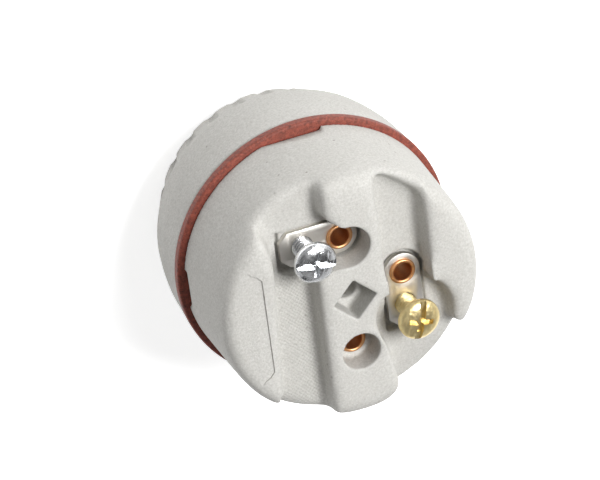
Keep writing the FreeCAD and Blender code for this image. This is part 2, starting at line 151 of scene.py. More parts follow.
# %% Cut a piece with closed cutters
def cut_away(piece, cutter_bm, solver="EXACT"):
    bmesh.ops.recalc_face_normals(cutter_bm, faces=cutter_bm.faces)
    resize(cutter_bm, MM)
    mesh = mesh_from("cutter", cutter_bm)
    cutter = add_object("cutter", mesh)
    modifier = piece.modifiers.new("cut", "BOOLEAN")
    modifier.operation = "DIFFERENCE"
    modifier.solver = solver
    modifier.object = cutter
    apply_modifiers(piece)
    bpy.data.objects.remove(cutter)
    bpy.data.meshes.remove(mesh)


# %% Plain blocks: cylinder, box and prism
def add_cylinder(bm, centre, radius, low, high, segments=48):
    middle = Matrix.Translation((centre[0], centre[1], (low + high) / 2))
    bmesh.ops.create_cone(
        bm, cap_ends=True, segments=segments, radius1=radius, radius2=radius,
        depth=high - low, matrix=middle)


def add_box(bm, low, high):
    middle = [(a + b) / 2 for a, b in zip(low, high)]
    spans = [b - a for a, b in zip(low, high)]
    matrix = Matrix.Translation(middle) @ Matrix.Diagonal((*spans, 1))
    bmesh.ops.create_cube(bm, size=1, matrix=matrix)


def only_verts(geometry):
    return [item for item in geometry if isinstance(item, bmesh.types.BMVert)]


def only_edges(geometry):
    return [item for item in geometry if isinstance(item, bmesh.types.BMEdge)]


def raise_faces(bm, faces, height):
    raised = bmesh.ops.extrude_face_region(bm, geom=faces)["geom"]
    bmesh.ops.translate(bm, vec=(0, 0, height), verts=only_verts(raised))


def add_prism(bm, outline, low, height):
    corners = [bm.verts.new((x, y, low)) for x, y in outline]
    face = bmesh.ops.contextual_create(bm, geom=corners)["faces"]
    raise_faces(bm, face, height)


# %% A turned piece: an outline spun round the Z axis
def spin_outline(bm, outline, steps, centre=(0, 0, 0), closed=True):
    corners = [bm.verts.new((centre[0] + r, centre[1], centre[2] + z)) for r, z in outline]
    edges = [bm.edges.new(pair) for pair in zip(corners, corners[1:])]
    if closed:
        edges.append(bm.edges.new((corners[-1], corners[0])))
    bmesh.ops.spin(
        bm, geom=corners + edges, cent=centre, axis=(0, 0, 1),
        angle=math.tau, steps=steps, use_merge=True)
    bmesh.ops.remove_doubles(bm, verts=bm.verts, dist=0.0005)


def arc(centre, radius, start, end, count):
    points = []
    for i in range(count + 1):
        turn = math.radians(start + (end - start) * i / count)
        points.append((centre[0] + radius * math.cos(turn), centre[1] + radius * math.sin(turn)))
    return points


# %% [markdown]
# ## Finishes
# Porcelain, fibre and six metals share three effects, so each effect is a
# node group that gives a mask or a height: fine grain, dark specks and fine
# scratches. The shader itself stays in the material.

# %% Small helpers for node trees
def feed(tree, in_socket, value):
    if isinstance(value, bpy.types.NodeSocket):
        tree.links.new(value, in_socket)
    else:
        in_socket.default_value = value


def add_node(tree, kind, inputs=None, **settings):
    made = tree.nodes.new(kind)
    for key, value in settings.items():
        setattr(made, key, value)
    for key, value in (inputs or {}).items():
        feed(tree, made.inputs[key], value)
    return made


def calculate(tree, operation, first, second):
    made = add_node(tree, "ShaderNodeMath", {0: first, 1: second}, operation=operation)
    return made.outputs["Value"]


def remap(tree, value, start, end, low=0.0, high=1.0, kind="LINEAR"):
    inputs = {"Value": value, "From Min": start, "From Max": end, "To Min": low, "To Max": high}
    made = add_node(tree, "ShaderNodeMapRange", inputs, interpolation_type=kind)
    return made.outputs["Result"]


def new_group(name, inputs, outputs):
    group = bpy.data.node_groups.new(name, "ShaderNodeTree")
    for label, kind, default in inputs:
        socket = group.interface.new_socket(label, in_out="INPUT", socket_type=kind)
        if default is not None:
            socket.default_value = default
    for label, kind in outputs:
        group.interface.new_socket(label, in_out="OUTPUT", socket_type=kind)
    group_in = add_node(group, "NodeGroupInput").outputs
    group_out = add_node(group, "NodeGroupOutput").inputs
    return group, group_in, group_out


# %% Group: fine grain, as a height
grain, g_in, g_out = new_group(
    "fine grain",
    [("Vector", "NodeSocketVector", None), ("Scale", "NodeSocketFloat", 2000.0),
     ("Roughness", "NodeSocketFloat", 0.6)],
    [("Height", "NodeSocketFloat")])
noise = add_node(grain, "ShaderNodeTexNoise", {
    "Vector": g_in["Vector"], "Scale": g_in["Scale"], "Roughness": g_in["Roughness"], "Detail": 4})
feed(grain, g_out["Height"], noise.outputs["Fac"])

# %% Group: sparse dark specks
specks, s_in, s_out = new_group(
    "dark specks",
    [("Vector", "NodeSocketVector", None), ("Scale", "NodeSocketFloat", 350.0),
     ("Size", "NodeSocketFloat", 0.12), ("Amount", "NodeSocketFloat", 0.5)],
    [("Mask", "NodeSocketFloat")])
cells = add_node(specks, "ShaderNodeTexVoronoi", {"Vector": s_in["Vector"], "Scale": s_in["Scale"]})
near = remap(specks, cells.outputs["Distance"], 0.0, s_in["Size"], 1.0, 0.0, "SMOOTHSTEP")
pick = add_node(specks, "ShaderNodeSeparateColor", {"Color": cells.outputs["Color"]})
chosen = calculate(specks, "LESS_THAN", pick.outputs["Red"], s_in["Amount"])
feed(specks, s_out["Mask"], calculate(specks, "MULTIPLY", near, chosen))

# %% Group: fine scratches, noise stretched along one direction
scratches, c_in, c_out = new_group(
    "fine scratches",
    [("Vector", "NodeSocketVector", None), ("Turn", "NodeSocketFloat", 0.0),
     ("Scale", "NodeSocketFloat", 900.0), ("Stretch", "NodeSocketFloat", 0.04)],
    [("Mask", "NodeSocketFloat")])
turned = add_node(
    scratches, "ShaderNodeVectorRotate", {"Vector": c_in["Vector"], "Angle": c_in["Turn"]},
    rotation_type="Z_AXIS")
squeeze = add_node(scratches, "ShaderNodeCombineXYZ", {"X": 1, "Y": c_in["Stretch"], "Z": 1})
stretched = add_node(
    scratches, "ShaderNodeVectorMath", {0: turned.outputs["Vector"], 1: squeeze.outputs["Vector"]},
    operation="MULTIPLY")
streaks = add_node(scratches, "ShaderNodeTexNoise", {
    "Vector": stretched.outputs["Vector"], "Scale": c_in["Scale"], "Detail": 3})
scratch_from, scratch_full = 0.56, 0.72
sharp = remap(scratches, streaks.outputs["Fac"], scratch_from, scratch_full, kind="SMOOTHSTEP")
feed(scratches, c_out["Mask"], sharp)
print("groups", [g.name for g in bpy.data.node_groups])


# %% A material starts with its shader and Object coordinates
def start_material(name, roughness, metallic=0.0):
    material = bpy.data.materials.new(name)
    material.use_nodes = True
    tree = material.node_tree
    shader = tree.nodes["Principled BSDF"]
    shader.inputs["Roughness"].default_value = roughness
    shader.inputs["Metallic"].default_value = metallic
    place = add_node(tree, "ShaderNodeTexCoord").outputs["Object"]
    return material, tree, shader, place


def use_group(tree, group, place, **values):
    return add_node(tree, "ShaderNodeGroup", {"Vector": place, **values}, node_tree=group).outputs


def cloudy(tree, place, scale):
    inputs = {"Vector": place, "Scale": scale, "Detail": 3}
    return add_node(tree, "ShaderNodeTexNoise", inputs).outputs["Fac"]


def mix_colour(tree, mask, first, second):
    mix = add_node(tree, "ShaderNodeMix", data_type="RGBA")
    for value, socket in ((mask, 0), (first, 6), (second, 7)):
        feed(tree, mix.inputs[socket], (*value, 1) if isinstance(value, tuple) else value)
    return mix.outputs[2]


def scaled(tree, value, factor):
    return calculate(tree, "MULTIPLY", value, factor)


def bump(tree, shader, height, strength, distance):
    inputs = {"Strength": strength, "Distance": distance * MM, "Height": height}
    made = add_node(tree, "ShaderNodeBump", inputs)
    feed(tree, shader.inputs["Normal"], made.outputs["Normal"])


# %% [markdown]
# ### Unglazed porcelain
# The clay is pale and slightly warm, with a fine sandy grain, a few dark
# specks of iron, and faint crossing tool marks on the floor of the left
# channel. Two waves at an angle to each other make the marks, and a soft box
# on Object coordinates keeps them on that floor.

# %% Where the tool marks lie, in millimetres, and how softly they end
marked_box = (("Z", 39.6, 40.9, 0.2), ("X", -14.2, -6.8, 0.6), ("Y", -26.0, 6.0, 2.0))


def inside_soft_box(tree, place, limits):
    spot = add_node(tree, "ShaderNodeSeparateXYZ", {0: place})
    inside = 1.0
    for axis, low, high, edge in limits:
        value = spot.outputs[axis]
        past_low = remap(tree, value, (low - edge) * MM, low * MM, kind="SMOOTHSTEP")
        before_high = remap(tree, value, high * MM, (high + edge) * MM, 1.0, 0.0, "SMOOTHSTEP")
        inside = calculate(tree, "MULTIPLY", inside, past_low)
        inside = calculate(tree, "MULTIPLY", inside, before_high)
    return inside


# %% Group: crossed tool marks
hatch, h_in, h_out = new_group(
    "crossed marks",
    [("Vector", "NodeSocketVector", None), ("Scale", "NodeSocketFloat", 300.0)],
    [("Height", "NodeSocketFloat"), ("Mask", "NodeSocketFloat")])
stripes = []
for angle in (38, -42):
    tilt = add_node(
        hatch, "ShaderNodeVectorRotate", {"Vector": h_in["Vector"], "Angle": math.radians(angle)},
        rotation_type="Z_AXIS")
    stripe = add_node(hatch, "ShaderNodeTexWave", {
        "Vector": tilt.outputs["Vector"], "Scale": h_in["Scale"],
        "Distortion": 3.0, "Detail": 2, "Detail Scale": 1.5}, wave_type="BANDS")
    stripes.append(stripe.outputs["Fac"])
feed(hatch, h_out["Height"], calculate(hatch, "ADD", *stripes))
feed(hatch, h_out["Mask"], inside_soft_box(hatch, h_in["Vector"], marked_box))

# %% Colours of the clay, and how much of each shows
clay_shade, clay_light = (0.570, 0.559, 0.530), (0.655, 0.647, 0.618)
sand_dark, sand_share = (0.42, 0.41, 0.38), 0.75
speck_dark, speck_share = (0.16, 0.13, 0.11), 0.65
hatch_dark, hatch_share = (0.40, 0.38, 0.35), 0.07
rubbed = (0.52, 0.50, 0.46)
hatch_relief = -0.22


# %% Porcelain
def make_porcelain(name, scratch_amount, hatched):
    material, tree, shader, place = start_material(name, roughness=0.66)
    shader.inputs["Specular IOR Level"].default_value = 0.3
    colour = mix_colour(tree, cloudy(tree, place, 90), clay_shade, clay_light)
    sand = use_group(tree, grain, place, Scale=2300.0, Roughness=0.8)["Height"]
    sandy = remap(tree, sand, 0.36, 0.64)
    colour = mix_colour(tree, scaled(tree, sandy, sand_share), colour, sand_dark)
    dots = use_group(tree, specks, place, Scale=480.0, Size=0.17, Amount=0.16)["Mask"]
    colour = mix_colour(tree, scaled(tree, dots, speck_share), colour, speck_dark)
    marks = use_group(tree, scratches, place, Turn=math.radians(35), Scale=1500.0, Stretch=0.06)["Mask"]
    colour = mix_colour(tree, scaled(tree, marks, scratch_amount), colour, rubbed)
    height = sand
    if hatched:
        weave = use_group(tree, hatch, place, Scale=560.0)
        dark_lines = calculate(tree, "MULTIPLY", weave["Height"], weave["Mask"])
        colour = mix_colour(tree, scaled(tree, dark_lines, hatch_share), colour, hatch_dark)
        height = calculate(tree, "ADD", height, scaled(tree, dark_lines, hatch_relief))
    feed(tree, shader.inputs["Base Color"], colour)
    bump(tree, shader, height, strength=0.9, distance=0.19)
    return material


body_porcelain = make_porcelain("unglazed porcelain", scratch_amount=0.25, hatched=True)
ring_porcelain = make_porcelain("unglazed porcelain ring", scratch_amount=0.08, hatched=False)
print("porcelain nodes", len(body_porcelain.node_tree.nodes))

# %% [markdown]
# ### Vulcanised fibre
# The gasket is punched from brick red fibre sheet. Its surface is dull and
# mottled, so coarse grain drives both the colour and the bump.

# %% Fibre
fibre_dark, fibre_light = (0.066, 0.0130, 0.0078), (0.335, 0.072, 0.041)


def make_fibre(name):
    material, tree, shader, place = start_material(name, roughness=0.6)
    mottle = use_group(tree, grain, place, Scale=1700.0, Roughness=0.8)["Height"]
    colour = mix_colour(tree, remap(tree, mottle, 0.3, 0.7), fibre_dark, fibre_light)
    feed(tree, shader.inputs["Base Color"], colour)
    bump(tree, shader, mottle, strength=0.7, distance=0.10)
    return material


gasket_fibre = make_fibre("red vulcanised fibre")

# %% [markdown]
# ### Plated and bare metals
# All the small metal parts are stamped or turned, then tumbled and plated.
# One function makes them: a colour that drifts slightly, fine scratches that
# roughen the shine, and shallow dents. The screws have been handled most, so
# their dents are the deepest.

# %% Metals
def make_metal(name, light, dark, roughness, scratch_scale, scratch_turn=0.4,
               dent_scale=900.0, dent_depth=0.018, drift_scale=500.0):
    material, tree, shader, place = start_material(name, roughness, metallic=1.0)
    colour = mix_colour(tree, cloudy(tree, place, drift_scale), dark, light)
    feed(tree, shader.inputs["Base Color"], colour)
    marks = use_group(
        tree, scratches, place, Turn=scratch_turn, Scale=scratch_scale, Stretch=0.05)["Mask"]
    scratched = min(1.0, roughness + 0.25)
    feed(tree, shader.inputs["Roughness"], remap(tree, marks, 0.0, 1.0, roughness, scratched))
    dents = use_group(tree, grain, place, Scale=dent_scale, Roughness=0.5)["Height"]
    height = calculate(tree, "ADD", dents, scaled(tree, marks, 0.15))
    bump(tree, shader, height, strength=1.0, distance=dent_depth)
    return material


# %% Bright screws
zinc = make_metal(
    "bright zinc", light=(0.92, 0.93, 0.94), dark=(0.60, 0.61, 0.63), roughness=0.24,
    scratch_scale=2200.0, dent_scale=1300.0, dent_depth=0.065, drift_scale=1500.0)
brass = make_metal(
    "bright brass", light=(1.0, 0.87, 0.50), dark=(0.74, 0.55, 0.23), roughness=0.36,
    scratch_scale=2200.0, dent_scale=1700.0, dent_depth=0.10, drift_scale=1700.0)

# %% Stamped and drawn parts
nickel = make_metal(
    "satin nickel", light=(0.93, 0.91, 0.87), dark=(0.74, 0.70, 0.64), roughness=0.42,
    scratch_scale=1400.0, scratch_turn=1.2)
copper = make_metal(
    "copper colour", light=(0.80, 0.44, 0.22), dark=(0.58, 0.28, 0.12), roughness=0.38,
    scratch_scale=2000.0)
shell_metal = make_metal(
    "aluminium sheet", light=(0.84, 0.84, 0.85), dark=(0.72, 0.72, 0.74), roughness=0.32,
    scratch_scale=900.0)
spring_metal = make_metal(
    "spring brass", light=(0.80, 0.62, 0.30), dark=(0.66, 0.48, 0.20), roughness=0.30,
    scratch_scale=1200.0)
print("materials", len(bpy.data.materials))

# %% [markdown]
# ## Porcelain body and ring
# Cast porcelain has no sharp edge anywhere. Bevels on such a broken outline
# tend to collide, so the CAD solid is rebuilt as an even skin of tiny squares
# and relaxed: each pass rounds the edges a little more. The coarse thread is
# made here too. A tooth outline is spun with a rise of one pitch per turn;
# the neck loses that helix and the ring gains a slimmer one.

# %% The helix that neck and ring share
neck_pitch = 3.2
groove_low = 2.3


def add_helix(bm, outline, turns, low, steps=72):
    corners = [bm.verts.new((r, 0, low + z)) for r, z in outline]
    edges = [bm.edges.new(pair) for pair in zip(corners, corners[1:] + corners[:1])]
    count = int(round(turns * steps))
    bmesh.ops.contextual_create(bm, geom=edges)
    last = bmesh.ops.spin(
        bm, geom=corners + edges, cent=(0, 0, 0), axis=(0, 0, 1),
        dvec=(0, 0, neck_pitch / steps), angle=math.tau * count / steps, steps=count)["geom_last"]
    bmesh.ops.contextual_create(bm, geom=only_edges(last))


# %% Rebuild a CAD solid as an even skin
skin_voxel = 0.28


def start_casting(node, name, body):
    bm = bmesh.new()
    bm.from_mesh(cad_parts[node].data)
    bmesh.ops.remove_doubles(bm, verts=bm.verts, dist=0.000001)
    resize(bm, 1 / MM)
    return add_piece(name, bm, body, node)


def even_skin(piece):
    skin = piece.modifiers.new("skin", "REMESH")
    skin.mode = "VOXEL"
    skin.voxel_size = skin_voxel * MM
    apply_modifiers(piece)
    print(piece.name, len(piece.data.polygons), "faces in the even skin")


def relax(piece, passes, chosen=None):
    smooth = piece.modifiers.new("relax", "SMOOTH")
    smooth.factor = 0.5
    smooth.iterations = passes
    if chosen:
        group = piece.vertex_groups.new(name="soft")
        for vert in piece.data.vertices:
            weight = chosen(vert.co / MM)
            if weight > 0:
                group.add([vert.index], weight, "REPLACE")
        smooth.vertex_group = group.name
    apply_modifiers(piece)


def thin_out(piece, keep):
    thin = piece.modifiers.new("thin", "DECIMATE")
    thin.ratio = keep
    apply_modifiers(piece)
    shade(piece, 60)
    print(piece.name, len(piece.data.polygons), "faces in the finished casting")


# %% [markdown]
# ### Crevices round the terminal plates
# The plates lie in cast seats that are a little wider than they are, and a
# dark gap shows along two sides of each. A ring cut round the eyelet's end
# and two slim boxes at the tail make that gap, before the skin is softened.

# %% The body, and where the plates lie in it
body = start_casting("porcelain_body", "soft_porcelain_body", "socket")
body_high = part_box("porcelain_body")[1].z / MM
plate_boxes = [box_mm(node) for node in ("shell_terminal", "centre_terminal")]
print("body top", round(body_high, 2), "plate tops", [round(high.z, 2) for low, high in plate_boxes])

# %% The crevices
crevice_deep = 0.9
bow_in, bow_out = 0.4, 0.75
side_in, side_out = 0.3, 0.7
side_long = 5.0


def cut_crevice(low, high):
    along_x = high.x - low.x > high.y - low.y
    half = min(high.x - low.x, high.y - low.y) / 2
    floor_z = low.z - crevice_deep
    if along_x:
        eye = (high.x - half, (low.y + high.y) / 2, 0)
        tail_end = (low.x + side_in, high.y + side_out)
        side_end = (low.x + side_long, low.y + side_in)
    else:
        eye = ((low.x + high.x) / 2, high.y - half, 0)
        tail_end = (high.x + side_out, low.y + side_in)
        side_end = (low.x + side_in, low.y + side_long)
    bow = [(half - bow_in, floor_z), (half + bow_out, floor_z),
           (half + bow_out, high.z), (half - bow_in, high.z)]
    cutter = bmesh.new()
    spin_outline(cutter, bow, 48, centre=eye)
    cut_away(body, cutter)
    for end in (tail_end, side_end):
        cutter = bmesh.new()
        add_box(cutter, (low.x - side_out, low.y - side_out, floor_z), (*end, high.z))
        cut_away(body, cutter)


for plate_low, plate_high in plate_boxes:
    cut_crevice(plate_low, plate_high)
print("body with crevices", len(body.data.polygons), "faces")

# %% [markdown]
# ### The right wire mouth and the neck's groove
# Where the right channel opens to the rim, the corner beside it swings away
# in a bend, down to about the level of the channel's floor. A prism takes it
# off. Then the helix is cut into the neck.

# %% The corner of the right wire mouth
mouth_floor = body_high - 5.15
mouth_corner = [(15.0, -13.0), (18.4, -10.8), (19.0, -12.0), (20.2, -13.0),
                (27.0, -15.2), (27.0, -30.0), (15.0, -30.0)]
cutter = bmesh.new()
add_prism(cutter, mouth_corner, mouth_floor, height=8)
cut_away(body, cutter)

# %% The groove in the neck
groove = [(18.2, -0.65), (20.0, -1.0), (20.0, 1.0), (18.2, 0.65)]
groove_turns = 6.6
cutter = bmesh.new()
add_helix(cutter, groove, groove_turns, groove_low)
cut_away(body, cutter)
print("body with its groove", len(body.data.polygons), "faces")

# %% [markdown]
# ### Where the clay is soft
# The rims and the channel edges wear rounder than the wells and the seats, so
# each vertex gets a weight: none near an eyelet, a plate or the square well,
# full a little further out. The outermost corners get more passes, and the
# lips where the high lands meet the rim get the most.

# %% Weight of the general passes
eyelets = ("shell_terminal_eyelet", "plain_eyelet", "centre_eyelet")
round_bowl_r, square_well_r = 4.7, 4.5
crisp_spots = [(centre_mm(node), round_bowl_r) for node in eyelets]
crisp_spots.append((Vector((0, 0, 0)), square_well_r))
seat_z = plate_boxes[0][0].z
lowest_soft = seat_z - 0.5
plates_end = seat_z + 1.6
plate_margin = 1.0
fade_wide = 0.8


def softness(spot):
    if spot.z < lowest_soft:
        return 0.0
    gap = min(math.hypot(spot.x - c.x, spot.y - c.y) - r for c, r in crisp_spots)
    if spot.z < plates_end:
        for low, high in plate_boxes:
            across = max(low.x - spot.x, spot.x - high.x, low.y - spot.y, spot.y - high.y)
            gap = min(gap, across - plate_margin)
    return part_way(gap, 0.0, fade_wide)


# %% Weights of the corners and of the lips
lip_tips = ((-15.5, -19.5), (20.5, -13.5))
tip_full, tip_end = 2.0, 6.0


def corner_softness(spot):
    return softness(spot) * part_way(math.hypot(spot.x, spot.y), 17.5, 20.0)


def lip_softness(spot):
    out = math.hypot(spot.x, spot.y)
    left = part_way(spot.x, -5.5, -8.0) * part_way(spot.y, 11.0, 14.5) * part_way(out, 14.5, 17.5)
    right = part_way(spot.x, 3.0, 5.0) * part_way(spot.y, 12.0, 16.0) * part_way(out, 15.5, 18.5)
    to_tip = min(math.hypot(spot.x - x, spot.y - y) for x, y in lip_tips)
    return softness(spot) * max(left, right, part_way(to_tip, tip_end, tip_full))


# %% Skin and soft passes of the body
even_skin(body)
relax(body, passes=4)
relax(body, passes=160, chosen=softness)
relax(body, passes=60, chosen=corner_softness)
relax(body, passes=160, chosen=lip_softness)
thin_out(body, keep=0.42)

# %% [markdown]
# ### The sunk field
# A plain field at the left rim lies a little lower than the land round it.
# It keeps a crisp outline, so it is cut after the soft passes.

# %% The sunk field
field_deep = 0.46
upper_edge = [(-16.65, 9.6), (-17.5, 10.6), (-18.6, 11.2), (-19.6, 12.6), (-27, 19)]
lower_edge = [(x, -y) for x, y in upper_edge]
cutter = bmesh.new()
add_prism(cutter, lower_edge[:1] + upper_edge + lower_edge[:0:-1], body_high - field_deep, height=3)
cut_away(body, cutter)
shade(body, 50)
dress(body, body_porcelain)
print("body with its field", len(body.data.polygons), "faces")

# %% [markdown]
# ### The clamp ring
# The ring gains the slimmer helix. Its grip flutes lie in the ring's conical
# front and deepen upwards, so each cutter is a cylinder that leans outwards
# less than the cone does. The cuts are a little deeper than in the solids,
# because the soft passes flatten them again.

# %% The ring and its ridge
ring = start_casting("clamp_ring", "soft_clamp_ring", "ring")
ridge = [(20.2, -0.66), (18.5, -0.36), (18.5, 0.36), (20.2, 0.66)]
ridge_turns = 5.4
bm = bmesh.new()
bm.from_mesh(ring.data)
resize(bm, 1 / MM)
add_helix(bm, ridge, ridge_turns, groove_low + neck_pitch)
bmesh.ops.recalc_face_normals(bm, faces=bm.faces)
resize(bm, MM)
bm.to_mesh(ring.data)
bm.free()

# %% The flutes
flute_count = 26
flute_lean = math.radians(18.4)
flute_start = 4.6
flute_r = 1.35
flute_deep = 0.6
flute_low, flute_high = -3, 7.4
cone_foot_in, cone_foot_level = 4.55, 1.5
foot_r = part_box("clamp_ring")[1].x / MM - cone_foot_in
axis_r = foot_r - cone_foot_level * math.tan(flute_lean)
axis_r += (flute_r - flute_deep) / math.cos(flute_lean)
for k in range(flute_count):
    cutter = bmesh.new()
    add_cylinder(cutter, (0, 0), flute_r, flute_low, flute_high, 32)
    lean = Matrix.Rotation(math.radians(flute_start + k * 360 / flute_count), 4, "Z")
    lean = lean @ Matrix.Translation((axis_r, 0, 0)) @ Matrix.Rotation(flute_lean, 4, "Y")
    bmesh.ops.transform(cutter, matrix=lean, verts=cutter.verts)
    cut_away(ring, cutter)

# %% Skin and soft passes of the ring, lighter on the flutes
flutes_high = 9.5
flutes_inside = 18.5


def ring_softness(spot):
    on_flutes = spot.z < flutes_high and math.hypot(spot.x, spot.y) > flutes_inside
    return 0.25 if on_flutes else 1.0


even_skin(ring)
relax(ring, passes=5, chosen=ring_softness)
thin_out(ring, keep=0.45)
dress(ring, ring_porcelain)

# %% [markdown]
# ## Gasket
# A washer punched from fibre sheet, its outer edges slightly rounded by the
# punch. Spinning a small rounded rectangle is the most direct way to make it.

# %% Gasket
gasket_low, gasket_high = box_mm("ring_gasket")
gasket_outer = gasket_high.x
gasket_inner = 19.8
edge = 0.45
outline = [(gasket_inner, gasket_low.z), (gasket_inner, gasket_high.z)]
outline += arc((gasket_outer - edge, gasket_high.z - edge), edge, 90, 0, 5)
outline += arc((gasket_outer - edge, gasket_low.z + edge), edge, 0, -90, 5)
bm = bmesh.new()
spin_outline(bm, outline, 160)
gasket = add_piece("fibre_gasket", bm, "gasket", "ring_gasket")
dress(gasket, gasket_fibre)

# %% [markdown]
# ## Screw shell
# The shell is drawn from sheet and its thread is rolled in. A plain tube is
# made first, with many rings; then each ring point moves in or out with a
# wave that climbs by one pitch per turn, which is all a rolled thread is.

# %% The plain cup
shell_low, shell_high = box_mm("screw_shell")
shoulder = shell_high.x
floor_hole = 8.2
rings = 110
bm = bmesh.new()
tube = bmesh.ops.create_circle(bm, radius=shoulder, segments=120)
bmesh.ops.translate(bm, vec=(0, 0, shell_high.z), verts=tube["verts"])
rim = bm.edges[:]
inward = bmesh.ops.extrude_edge_only(bm, edges=rim)["geom"]
inner_share = floor_hole / shoulder
bmesh.ops.scale(bm, vec=(inner_share, inner_share, 1), verts=only_verts(inward))
edges = rim
for step in range(rings):
    made = bmesh.ops.extrude_edge_only(bm, edges=edges)["geom"]
    verts = only_verts(made)
    edges = [e for e in only_edges(made) if all(v in verts for v in e.verts)]
    bmesh.ops.translate(bm, vec=(0, 0, -(shell_high.z - shell_low.z) / rings), verts=verts)
print("cup", len(bm.verts), "points to roll")

# %% The rolled thread
crest = 13.7
wave = 0.8
pitch = 3.629
thread_top = shell_high.z - 2.2
run_out, run_in = 0.4, 1.2
mouth_plain, mouth_full = shell_low.z + 0.6, shell_low.z + 2.0
for vert in bm.verts:
    z = vert.co.z
    if z > shell_high.z - 0.01:
        continue
    across = math.hypot(vert.co.x, vert.co.y)
    turn = math.atan2(vert.co.y, vert.co.x) / math.tau
    rolled = crest - wave / 2 + wave / 2 * math.cos(math.tau * (z / pitch - turn))
    share = ease(z, thread_top + run_out, thread_top - run_in)
    share *= ease(z, mouth_plain, mouth_full)
    plain = shoulder if z > thread_top - 2 else crest
    wanted = plain + (rolled - plain) * share
    vert.co.x *= wanted / across
    vert.co.y *= wanted / across

# %% Wall, and the openings in the cup's floor
sheet = 0.4
slot_from, slot_to, slot_half = 1, 16, 4.6
rivet_r = 2.1
shell = add_piece("rolled_screw_shell", bm, "socket", "screw_shell", 40)
thicken(shell, sheet, -1)
cutter = bmesh.new()
add_box(cutter, (slot_from, -slot_half, shell_high.z - 1.2), (slot_to, slot_half, shell_high.z + 1))
for node in ("shell_terminal_eyelet", "plain_eyelet"):
    add_cylinder(cutter, centre_mm(node), rivet_r, shell_high.z - 1, shell_high.z + 1)
cut_away(shell, cutter, "MANIFOLD")
print("screw shell", len(shell.data.polygons), "faces after its cuts")
shade(shell, 40)
dress(shell, shell_metal)

# %% [markdown]
# ## Centre contact
# A bent strip of spring brass. Its side view is a soft curve, so a short
# chain of points is swept sideways to the strip's width and then given the
# thickness of the sheet.

# %% Centre contact
strip_low, strip_high = box_mm("centre_contact")
side = [(13.3, 32.5), (8.6, 32.5), (8.0, 32.35), (7.4, 31.95), (3.4, 29.75),
        (2.2, 29.1), (1.1, 28.72), (0, 28.6), (-1.1, 28.75), (-2.6, 29.4)]
bm = bmesh.new()
chain = [bm.verts.new((x, strip_low.y, z)) for x, z in side]
chain_edges = [bm.edges.new(pair) for pair in zip(chain, chain[1:])]
swept = bmesh.ops.extrude_edge_only(bm, edges=chain_edges)["geom"]
bmesh.ops.translate(bm, vec=(0, strip_high.y - strip_low.y, 0), verts=only_verts(swept))
contact = add_piece("centre_contact_strip", bm, "socket", "centre_contact")
thicken(contact, sheet, 1 if contact.data.polygons[0].normal.z < 0 else -1)
cutter = bmesh.new()
add_cylinder(cutter, centre_mm("centre_eyelet"), rivet_r, 31.5, 33.5)
cut_away(contact, cutter)
round_edges(contact, 0.08)
dress(contact, spring_metal)

# %% [markdown]
# ## Terminal plates
# Both plates are the same stamping: a round end about the eyelet, a tail
# with cut corners past the screw. One function draws it lying along -Y and
# turns it into its seat.

# %% The outline of a plate: a half circle and a tail with cut corners
cut_corner = 1.7


def add_plate_outline(bm, half, tail):
    start = bm.verts.new((half, 0, 0))
    bmesh.ops.spin(bm, geom=[start], cent=(0, 0, 0), axis=(0, 0, 1), angle=math.pi, steps=32)
    bm.verts.ensure_lookup_table()
    ends = [v for v in bm.verts if len(v.link_edges) == 1]
    path = [min(ends, key=lambda v: v.co.x)]
    for x, y in ((-half, -tail + cut_corner), (-half + cut_corner, -tail),
                 (half - cut_corner, -tail), (half, -tail + cut_corner)):
        path.append(bm.verts.new((x, y, 0)))
    path.append(max(ends, key=lambda v: v.co.x))
    for pair in zip(path, path[1:]):
        bm.edges.new(pair)


# %% Terminal plates
screw_reach = 7.0
screw_hole_r = 2.05


def make_plate(name, node, eyelet_node, turn):
    low, high = box_mm(node)
    eye = centre_mm(eyelet_node)
    half = min(high.x - low.x, high.y - low.y) / 2
    tail = max(high.x - low.x, high.y - low.y) - half
    bm = bmesh.new()
    add_plate_outline(bm, half, tail)
    face = bmesh.ops.contextual_create(bm, geom=bm.edges[:])["faces"]
    raise_faces(bm, face, high.z - low.z)
    spot = Matrix.Translation((eye.x, eye.y, low.z)) @ Matrix.Rotation(math.radians(turn), 4, "Z")
    bmesh.ops.transform(bm, matrix=spot, verts=bm.verts)
    plate = add_piece(name, bm, "socket", node)
    cutter = bmesh.new()
    for along, radius in ((0, rivet_r), (-screw_reach, screw_hole_r)):
        add_cylinder(cutter, spot @ Vector((0, along, 0)), radius, low.z - 1, high.z + 1)
    cut_away(plate, cutter)
    round_edges(plate, 0.12)
    shade(plate, 40)
    dress(plate, nickel)


make_plate("shell_terminal_plate", "shell_terminal", "shell_terminal_eyelet", -90)
make_plate("centre_terminal_plate", "centre_terminal", "centre_eyelet", 0)

# %% [markdown]
# ## Eyelets
# An eyelet is a short tube whose ends are rolled over. Its outline, with a
# half-round roll at each end, is spun round its own axis.

# %% Eyelets
bore = 1.75
barrel = 2.05
foot = 2.3
roll_high = 0.55


def make_eyelet(node):
    low, high = box_mm(node)
    middle = centre_mm(node)
    lip = (high.x - low.x) / 2
    roll = (lip - bore) / 2
    foot_roll = (foot - bore) / 2
    top_seat = high.z - roll_high
    foot_seat = low.z + roll_high
    outline = [(barrel, foot_seat), (barrel, top_seat), (lip - 0.05, top_seat)]
    outline += arc((bore + roll, high.z - roll), roll, 0, 180, 9)
    outline += arc((bore + foot_roll, low.z + foot_roll), foot_roll, 180, 360, 9)
    outline.append((foot - 0.03, foot_seat))
    bm = bmesh.new()
    spin_outline(bm, outline, 64, centre=(middle.x, middle.y, 0))
    piece = add_piece("rolled_" + node, bm, "socket", node, 50)
    dress(piece, copper)


for node in eyelets:
    make_eyelet(node)

